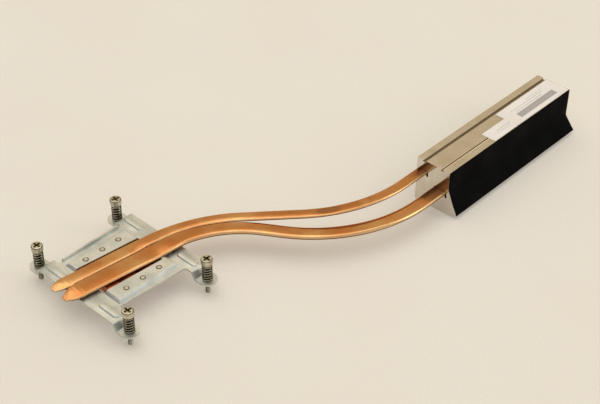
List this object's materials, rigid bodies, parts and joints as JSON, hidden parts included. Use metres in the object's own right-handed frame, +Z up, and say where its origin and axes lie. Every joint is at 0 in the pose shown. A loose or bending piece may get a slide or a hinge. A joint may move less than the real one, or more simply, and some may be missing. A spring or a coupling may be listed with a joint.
{
  "type": "processor heatsink with remote fin stack",
  "caption": "Heat-pipe processor cooler: a sprung screw bracket and copper base, flattened copper pipes bent out to a long fin stack with a black air flap.",
  "frame": {"origin": "centre of the copper base plate's contact face, which sits on the processor", "axes": "+Z up, away from the processor; +Y along the fin stack and the short screw spacing; +X along the long screw spacing, towards the fin stack's flap side"},
  "size_m": [0.1505, 0.3574, 0.0325],
  "materials": {
    "copper_plate": "satin bare copper",
    "copper_pipe": "satin drawn copper",
    "bracket_steel": "bright zinc plate",
    "screw_steel": "dark nickel plate",
    "spring_steel": "dark nickel plate",
    "ring_steel": "phosphated spring steel",
    "fin_metal": "satin warm nickel plate",
    "black_film": "matt black film",
    "label_stock": "white label film"
  },
  "bodies": {
    "cooler": {"base_plate": "copper_plate", "front_heat_pipe": "copper_pipe", "rear_heat_pipe": "copper_pipe", "mounting_bracket": "bracket_steel", "baffle_flap": "black_film", "label_large": "label_stock", "label_small": "label_stock", "compression_spring_1": "spring_steel", "compression_spring_2": "spring_steel", "compression_spring_3": "spring_steel", "compression_spring_4": "spring_steel", "fin_01": "fin_metal", "fin_02": "fin_metal", "fin_03": "fin_metal", "fin_04": "fin_metal", "fin_05": "fin_metal", "fin_06": "fin_metal", "fin_07": "fin_metal", "fin_08": "fin_metal", "fin_09": "fin_metal", "fin_10": "fin_metal", "fin_11": "fin_metal", "fin_12": "fin_metal", "fin_13": "fin_metal", "fin_14": "fin_metal", "fin_15": "fin_metal", "fin_16": "fin_metal", "fin_17": "fin_metal", "fin_18": "fin_metal", "fin_19": "fin_metal", "fin_20": "fin_metal", "fin_21": "fin_metal", "fin_22": "fin_metal", "fin_23": "fin_metal", "fin_24": "fin_metal", "fin_25": "fin_metal", "fin_26": "fin_metal", "fin_27": "fin_metal", "fin_28": "fin_metal", "fin_29": "fin_metal", "fin_30": "fin_metal", "fin_31": "fin_metal", "fin_32": "fin_metal", "fin_33": "fin_metal", "fin_34": "fin_metal", "fin_35": "fin_metal", "fin_36": "fin_metal", "fin_37": "fin_metal", "fin_38": "fin_metal", "fin_39": "fin_metal", "fin_40": "fin_metal"},
    "ring_1": {"retaining_ring_1": "ring_steel"},
    "screw_1": {"mounting_screw_1": "screw_steel"},
    "ring_2": {"retaining_ring_2": "ring_steel"},
    "screw_2": {"mounting_screw_2": "screw_steel"},
    "ring_3": {"retaining_ring_3": "ring_steel"},
    "screw_3": {"mounting_screw_3": "screw_steel"},
    "ring_4": {"retaining_ring_4": "ring_steel"},
    "screw_4": {"mounting_screw_4": "screw_steel"}
  },
  "joints": [
    {"name": "screw_1_travel", "type": "slide", "parent": "cooler", "child": "ring_1", "axis": [0, 0, -1], "range_m": [0, 0.004], "stiffness_N_per_m": 600, "springref_m": -0.002, "deforming": ["compression_spring_1"]},
    {"name": "screw_1_turn", "type": "hinge", "parent": "ring_1", "child": "screw_1", "pos_m": [-0.04, -0.03, 0], "axis": [0, 0, 1], "continuous": true},
    {"name": "screw_2_travel", "type": "slide", "parent": "cooler", "child": "ring_2", "axis": [0, 0, -1], "range_m": [0, 0.004], "stiffness_N_per_m": 600, "springref_m": -0.002, "deforming": ["compression_spring_2"]},
    {"name": "screw_2_turn", "type": "hinge", "parent": "ring_2", "child": "screw_2", "pos_m": [-0.04, 0.03, 0], "axis": [0, 0, 1], "continuous": true},
    {"name": "screw_3_travel", "type": "slide", "parent": "cooler", "child": "ring_3", "axis": [0, 0, -1], "range_m": [0, 0.004], "stiffness_N_per_m": 600, "springref_m": -0.002, "deforming": ["compression_spring_3"]},
    {"name": "screw_3_turn", "type": "hinge", "parent": "ring_3", "child": "screw_3", "pos_m": [0.04, 0.03, 0], "axis": [0, 0, 1], "continuous": true},
    {"name": "screw_4_travel", "type": "slide", "parent": "cooler", "child": "ring_4", "axis": [0, 0, -1], "range_m": [0, 0.004], "stiffness_N_per_m": 600, "springref_m": -0.002, "deforming": ["compression_spring_4"]},
    {"name": "screw_4_turn", "type": "hinge", "parent": "ring_4", "child": "screw_4", "pos_m": [0.04, -0.03, 0], "axis": [0, 0, 1], "continuous": true}
  ]
}
